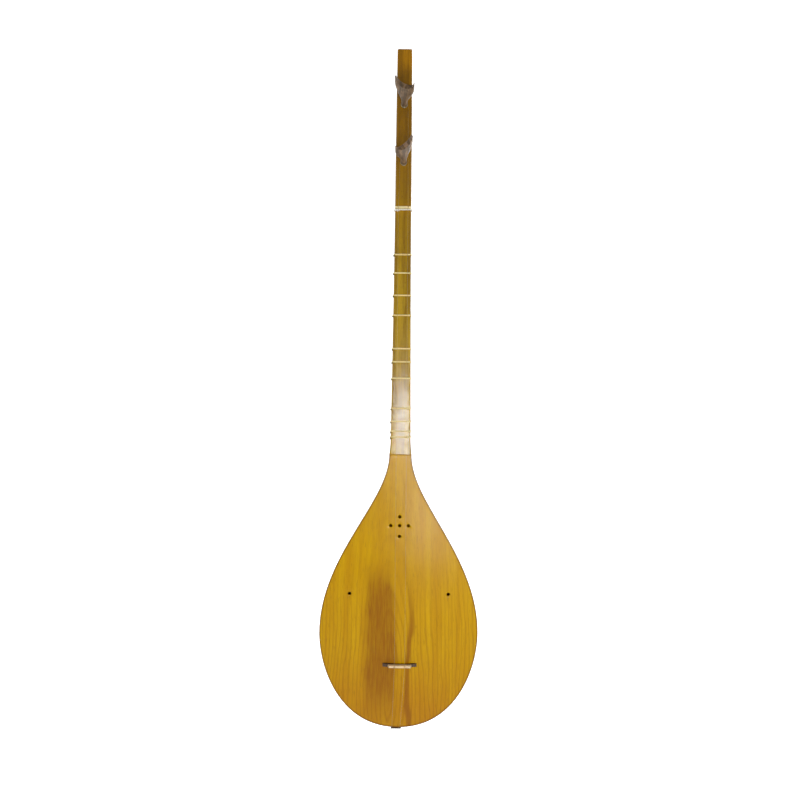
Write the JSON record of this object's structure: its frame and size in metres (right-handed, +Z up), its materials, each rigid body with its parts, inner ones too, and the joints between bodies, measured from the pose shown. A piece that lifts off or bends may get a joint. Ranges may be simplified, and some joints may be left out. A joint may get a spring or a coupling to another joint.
{
  "type": "long-necked lute",
  "caption": "Long-necked plucked lute with a carved pear-shaped bowl, wooden soundboard, tied gut frets, loose bridge and friction pegs.",
  "frame": {"origin": "on the neck's flat face just below the upper peg, where a wall hanger's loop goes round the neck", "axes": "+Z up along the neck towards the head, -Y out of the face towards the viewer, +X to the viewer's right"},
  "size_m": [0.2152, 0.1966, 0.9283],
  "materials": {
    "mulberry_board": "glossy varnish",
    "mulberry_bowl": "glossy varnish",
    "neck_wood": "satin varnish",
    "peg_walnut": "satin",
    "bridge_wood": "satin",
    "nut_bone": "smooth",
    "saddle_bone": "smooth",
    "tie_cord": "twisted",
    "fret_gut": "translucent, smooth",
    "holder_horn": "polished",
    "string_steel": "drawn"
  },
  "bodies": {
    "lute": {"bowl": "mulberry_bowl", "soundboard": "mulberry_board", "neck": "neck_wood", "nut": "nut_bone", "nut_tie": "tie_cord", "string_holder": "holder_horn", "string_left": "string_steel", "string_right": "string_steel"},
    "upper_peg_unit": {"upper_peg": "peg_walnut", "upper_winding": "string_steel"},
    "lower_peg_unit": {"lower_peg": "peg_walnut", "lower_winding": "string_steel"},
    "bridge_unit": {"bridge": "bridge_wood", "bridge_saddle": "saddle_bone"},
    "fret_01_unit": {"fret_01": "fret_gut"},
    "fret_02_unit": {"fret_02": "fret_gut"},
    "fret_03_unit": {"fret_03": "fret_gut"},
    "fret_04_unit": {"fret_04": "fret_gut"},
    "fret_05_unit": {"fret_05": "fret_gut"},
    "fret_06_unit": {"fret_06": "fret_gut"},
    "fret_07_unit": {"fret_07": "fret_gut"},
    "fret_08_unit": {"fret_08": "fret_gut"},
    "fret_09_unit": {"fret_09": "fret_gut"},
    "fret_10_unit": {"fret_10": "fret_gut"},
    "fret_11_unit": {"fret_11": "fret_gut"}
  },
  "joints": [
    {"name": "upper_peg_turn", "type": "hinge", "parent": "lute", "child": "upper_peg_unit", "pos_m": [0, 0, 0.012], "axis": [0, -0.9903, 0.1392], "continuous": true},
    {"name": "lower_peg_turn", "type": "hinge", "parent": "lute", "child": "lower_peg_unit", "pos_m": [0, 0, -0.066], "axis": [0, -0.9903, 0.1392], "continuous": true},
    {"name": "bridge_slide", "type": "slide", "parent": "lute", "child": "bridge_unit", "axis": [0, 0, 1], "range_m": [-0.002, 0.002]},
    {"name": "fret_01_slide", "type": "slide", "parent": "lute", "child": "fret_01_unit", "axis": [0, 0, 1], "range_m": [-0.0025, 0.0025]},
    {"name": "fret_02_slide", "type": "slide", "parent": "lute", "child": "fret_02_unit", "axis": [0, 0, 1], "range_m": [-0.0025, 0.0025]},
    {"name": "fret_03_slide", "type": "slide", "parent": "lute", "child": "fret_03_unit", "axis": [0, 0, 1], "range_m": [-0.0025, 0.0025]},
    {"name": "fret_04_slide", "type": "slide", "parent": "lute", "child": "fret_04_unit", "axis": [0, 0, 1], "range_m": [-0.0025, 0.0025]},
    {"name": "fret_05_slide", "type": "slide", "parent": "lute", "child": "fret_05_unit", "axis": [0, 0, 1], "range_m": [-0.0025, 0.0025]},
    {"name": "fret_06_slide", "type": "slide", "parent": "lute", "child": "fret_06_unit", "axis": [0, 0, 1], "range_m": [-0.0025, 0.0025]},
    {"name": "fret_07_slide", "type": "slide", "parent": "lute", "child": "fret_07_unit", "axis": [0, 0, 1], "range_m": [-0.0025, 0.0025]},
    {"name": "fret_08_slide", "type": "slide", "parent": "lute", "child": "fret_08_unit", "axis": [0, 0, 1], "range_m": [-0.0025, 0.0025]},
    {"name": "fret_09_slide", "type": "slide", "parent": "lute", "child": "fret_09_unit", "axis": [0, 0, 1], "range_m": [-0.0025, 0.0025]},
    {"name": "fret_10_slide", "type": "slide", "parent": "lute", "child": "fret_10_unit", "axis": [0, 0, 1], "range_m": [-0.0025, 0.0025]},
    {"name": "fret_11_slide", "type": "slide", "parent": "lute", "child": "fret_11_unit", "axis": [0, 0, 1], "range_m": [-0.0025, 0.0025]}
  ]
}
